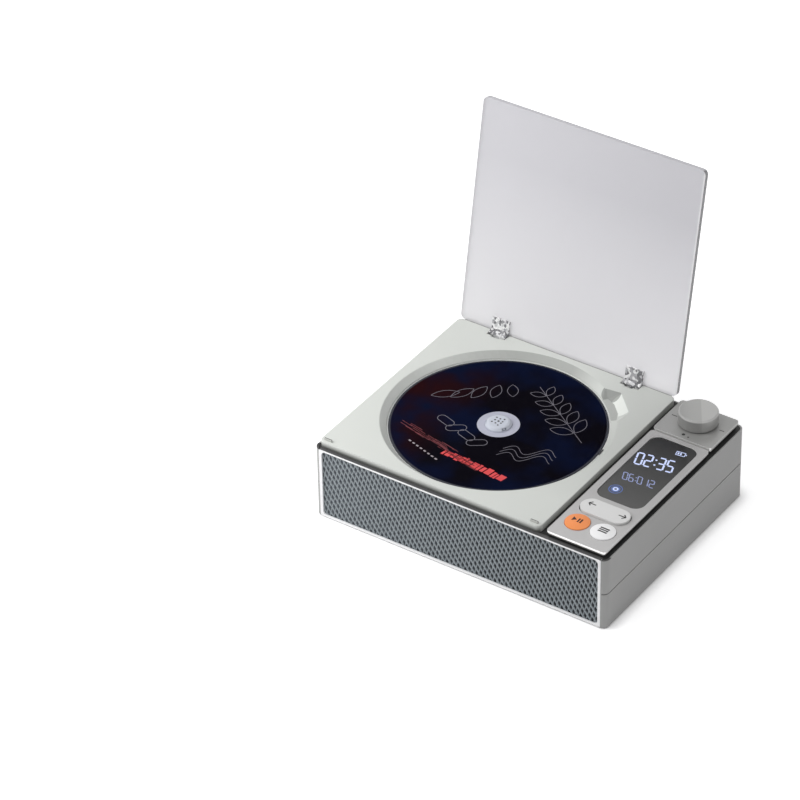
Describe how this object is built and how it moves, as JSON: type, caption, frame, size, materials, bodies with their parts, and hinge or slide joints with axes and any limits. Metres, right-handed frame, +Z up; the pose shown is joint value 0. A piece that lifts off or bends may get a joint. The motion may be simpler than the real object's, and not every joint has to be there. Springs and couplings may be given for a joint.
{
  "type": "disc player with a flip-up lid",
  "caption": "Disc player with a flip-up clear lid, front speaker grille, display window, knob and buttons; stands on feet or hangs on two keyholes",
  "frame": {"origin": "Centre of the flat underside of the case, above the feet", "axes": "+X to the right of someone facing the grille, +Y from the grille to the back with the sockets, +Z up out of the deck"},
  "size_m": [0.186, 0.1683, 0.1823],
  "materials": {
    "case_grey": "Fine matte mid-grey moulding",
    "black_tray": "Matte black moulding",
    "foot_rubber": "Dark matte rubber",
    "dark_steel": "Blackened steel screws",
    "bright_steel": "Bright plated steel",
    "frame_white": "Smooth white lacquer",
    "mesh_slate": "Slate blue expanded mesh over dark cloth",
    "speaker_steel": "Dark painted pressed steel",
    "cone_black": "Coated paper cone",
    "magnet_grey": "Ferrite",
    "deck_sage": "Pale sage grey satin moulding",
    "control_metal": "Warm light grey fine satin paint on metal",
    "display_glass": "Smoked window with lit segments below",
    "board_green": "Green circuit board",
    "switch_black": "Black moulding",
    "clear_plastic": "Clear polished plastic",
    "motor_steel": "Drawn steel can",
    "chassis_steel": "Zinc plated sheet",
    "battery_blue": "Blue shrink sleeve, no lettering",
    "lid_frost": "Frosted translucent plastic",
    "disc_dark": null,
    "hub_plastic": "Pale silver grey moulding",
    "knob_grey": "Mid-grey satin metal",
    "button_orange": null,
    "button_white": null,
    "rocker_pale": "Pale grey satin moulding with two arrows",
    "lens_glass": "Clear pickup lens",
    "gear_nylon": "White acetal"
  },
  "bodies": {
    "case": {"lower_shell": "case_grey", "upper_shell": "case_grey", "top_tray": "black_tray", "rubber_feet": "foot_rubber", "case_screws": "dark_steel", "grille_frame": "frame_white", "grille_mesh": "mesh_slate", "speaker_baffle": "black_tray", "speaker_baskets": "speaker_steel", "speaker_cones": "cone_black", "speaker_magnets": "magnet_grey", "deck_plate": "deck_sage", "front_plate": "control_metal", "rear_plate": "control_metal", "display_lens": "display_glass", "display_module": "black_tray", "control_board": "board_green", "key_switches": "switch_black", "board_screws": "bright_steel", "rocker_pin": "bright_steel", "volume_control": "switch_black", "disc_sensor": "switch_black", "lid_bumpers": "foot_rubber", "hinge_pads": "foot_rubber", "hinge_bases": "clear_plastic", "spindle_motor": "motor_steel", "mechanism_chassis": "chassis_steel", "dampers": "foot_rubber", "damper_screws": "bright_steel", "guide_rods": "bright_steel", "gear_clip": "bright_steel", "sled_motor": "motor_steel", "main_board": "board_green", "main_board_screws": "bright_steel", "heat_shield": "chassis_steel", "battery_pack": "battery_blue", "battery_strap": "black_tray", "power_socket": "bright_steel", "headphone_socket": "switch_black"},
    "lid": {"lid_panel": "lid_frost", "hinge_leaves": "clear_plastic", "hinge_pins": "clear_plastic"},
    "disc_drive": {"compact_disc": "disc_dark", "turntable": "hub_plastic", "hub_balls": "bright_steel", "spindle_shaft": "bright_steel"},
    "knob": {"volume_knob": "knob_grey", "knob_shaft": "bright_steel"},
    "power_key": {"power_button": "button_orange"},
    "mode_key": {"mode_button": "button_white"},
    "rocker": {"track_rocker": "rocker_pale"},
    "sled": {"pickup_sled": "switch_black", "pickup_lens": "lens_glass"},
    "gear": {"transfer_gear": "gear_nylon"},
    "pinion": {"motor_pinion": "gear_nylon"}
  },
  "joints": [
    {"name": "lid_hinge", "type": "hinge", "parent": "case", "child": "lid", "pos_m": [-0.0201, 0.0671, 0.0484], "axis": [1, 0, 0], "range_deg": [0, 100.8]},
    {"name": "disc_spin", "type": "hinge", "parent": "case", "child": "disc_drive", "pos_m": [-0.0201, 0, 0.04], "axis": [0, 0, 1], "continuous": true},
    {"name": "knob_turn", "type": "hinge", "parent": "case", "child": "knob", "pos_m": [0.0726, 0.0556, 0.0492], "axis": [0, 0, 1], "range_deg": [-135, 135]},
    {"name": "power_press", "type": "slide", "parent": "case", "child": "power_key", "axis": [0, 0, -1], "range_m": [0, 0.0008], "stiffness_N_per_m": 600},
    {"name": "mode_press", "type": "slide", "parent": "case", "child": "mode_key", "axis": [0, 0, -1], "range_m": [0, 0.0008], "stiffness_N_per_m": 600},
    {"name": "rocker_tilt", "type": "hinge", "parent": "case", "child": "rocker", "pos_m": [0.0726, -0.0391, 0.0446], "axis": [0, 1, 0], "range_deg": [-2.5, 2.5], "stiffness_Nm_per_rad": 0.08},
    {"name": "sled_slide", "type": "slide", "parent": "case", "child": "sled", "axis": [0, 1, 0], "range_m": [0, 0.032]},
    {"name": "gear_turn", "type": "hinge", "parent": "case", "child": "gear", "pos_m": [0.01377, 0.02, 0.03], "axis": [0, 0, -1], "range_deg": [0, 436.6]},
    {"name": "pinion_turn", "type": "hinge", "parent": "case", "child": "pinion", "pos_m": [0.02105, 0.0074, 0.03], "axis": [0, 0, 1], "range_deg": [0, 1372]}
  ],
  "couplings": [
    {"joint": "gear_turn", "follows": "sled_slide", "rad_per_m": 238.1},
    {"joint": "pinion_turn", "follows": "sled_slide", "rad_per_m": 748.3}
  ]
}
